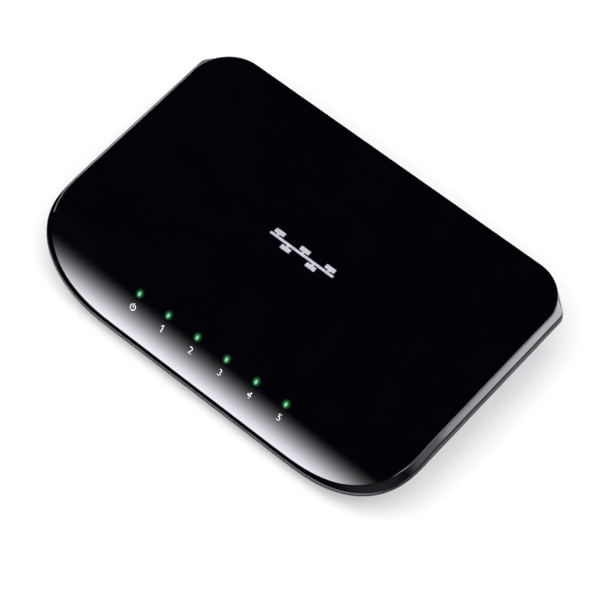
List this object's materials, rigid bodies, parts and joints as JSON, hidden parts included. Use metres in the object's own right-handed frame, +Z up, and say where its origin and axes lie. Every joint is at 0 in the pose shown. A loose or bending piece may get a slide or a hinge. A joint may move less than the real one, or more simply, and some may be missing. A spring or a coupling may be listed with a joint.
{
  "type": "desktop network switch",
  "caption": "Glossy black desktop network switch: curved-nose cover over a boat-shaped tray, indicator row in front, network sockets and power inlet at the rear.",
  "frame": {"origin": "centre of the overall footprint, on the surface that the feet stand on", "axes": "+X to the right seen from the front, +Y to the rear where the sockets are, +Z up"},
  "size_m": [0.1686, 0.1084, 0.028],
  "materials": {
    "cover_gloss": "piano-black high gloss",
    "tray_plastic": "fine matte texture",
    "foot_rubber": "matte",
    "label_film": "satin film",
    "screw_steel": "zinc-plated",
    "board_laminate": "solder-masked laminate",
    "jack_plastic": "satin moulded",
    "contact_gold": "gold flash",
    "tin": "tinned",
    "pipe_clear": "clear, lit green",
    "led_body": "diffused lens",
    "chip_epoxy": "moulded epoxy",
    "pad_silicone": "soft silicone",
    "sink_aluminium": "extruded",
    "crystal_can": "drawn can",
    "ferrite": "sintered",
    "sleeve_vinyl": "shrink sleeve",
    "resistor_ceramic": "glazed",
    "capacitor_ceramic": "fired ceramic"
  },
  "bodies": {
    "case": {"top_cover": "cover_gloss", "bottom_tray": "tray_plastic", "rating_label": "label_film", "case_screws": "screw_steel", "board_screws": "screw_steel", "circuit_board": "board_laminate", "light_pipe": "pipe_clear", "foot_front_left": "foot_rubber", "foot_front_right": "foot_rubber", "foot_rear_left": "foot_rubber", "foot_rear_right": "foot_rubber", "port_leads": "tin", "dc_jack_body": "jack_plastic", "dc_jack_pin": "tin", "led_power": "led_body", "led_1": "led_body", "led_2": "led_body", "led_3": "led_body", "led_4": "led_body", "led_5": "led_body", "switch_chip": "chip_epoxy", "thermal_pad": "pad_silicone", "heat_sink": "sink_aluminium", "crystal": "crystal_can", "power_inductor": "ferrite", "input_capacitor": "sleeve_vinyl", "output_capacitor": "sleeve_vinyl", "core_regulator": "chip_epoxy", "supply_regulator": "chip_epoxy", "flash_memory": "chip_epoxy", "chip_resistors": "resistor_ceramic", "chip_capacitors": "capacitor_ceramic", "port_1_jack": "jack_plastic", "port_1_transformer": "chip_epoxy", "port_2_jack": "jack_plastic", "port_2_transformer": "chip_epoxy", "port_3_jack": "jack_plastic", "port_3_transformer": "chip_epoxy", "port_4_jack": "jack_plastic", "port_4_transformer": "chip_epoxy", "port_5_jack": "jack_plastic", "port_5_transformer": "chip_epoxy"},
    "port_1_springs": {"port_1_contacts": "contact_gold"},
    "port_2_springs": {"port_2_contacts": "contact_gold"},
    "port_3_springs": {"port_3_contacts": "contact_gold"},
    "port_4_springs": {"port_4_contacts": "contact_gold"},
    "port_5_springs": {"port_5_contacts": "contact_gold"},
    "dc_spring": {"dc_jack_spring": "tin"}
  },
  "joints": [
    {"name": "port_1_contact_flex", "type": "hinge", "parent": "case", "child": "port_1_springs", "pos_m": [-0.028, 0.0445, 0.0175], "axis": [-1, 0, 0], "range_deg": [0, 9], "stiffness_Nm_per_rad": 0.02},
    {"name": "port_2_contact_flex", "type": "hinge", "parent": "case", "child": "port_2_springs", "pos_m": [-0.0104, 0.0445, 0.0175], "axis": [-1, 0, 0], "range_deg": [0, 9], "stiffness_Nm_per_rad": 0.02},
    {"name": "port_3_contact_flex", "type": "hinge", "parent": "case", "child": "port_3_springs", "pos_m": [0.0072, 0.0445, 0.0175], "axis": [-1, 0, 0], "range_deg": [0, 9], "stiffness_Nm_per_rad": 0.02},
    {"name": "port_4_contact_flex", "type": "hinge", "parent": "case", "child": "port_4_springs", "pos_m": [0.0248, 0.0445, 0.0175], "axis": [-1, 0, 0], "range_deg": [0, 9], "stiffness_Nm_per_rad": 0.02},
    {"name": "port_5_contact_flex", "type": "hinge", "parent": "case", "child": "port_5_springs", "pos_m": [0.0424, 0.0445, 0.0175], "axis": [-1, 0, 0], "range_deg": [0, 9], "stiffness_Nm_per_rad": 0.02},
    {"name": "dc_spring_flex", "type": "hinge", "parent": "case", "child": "dc_spring", "pos_m": [-0.047, 0.0358, 0.01055], "axis": [-1, 0, 0], "range_deg": [0, 5], "stiffness_Nm_per_rad": 0.03}
  ]
}
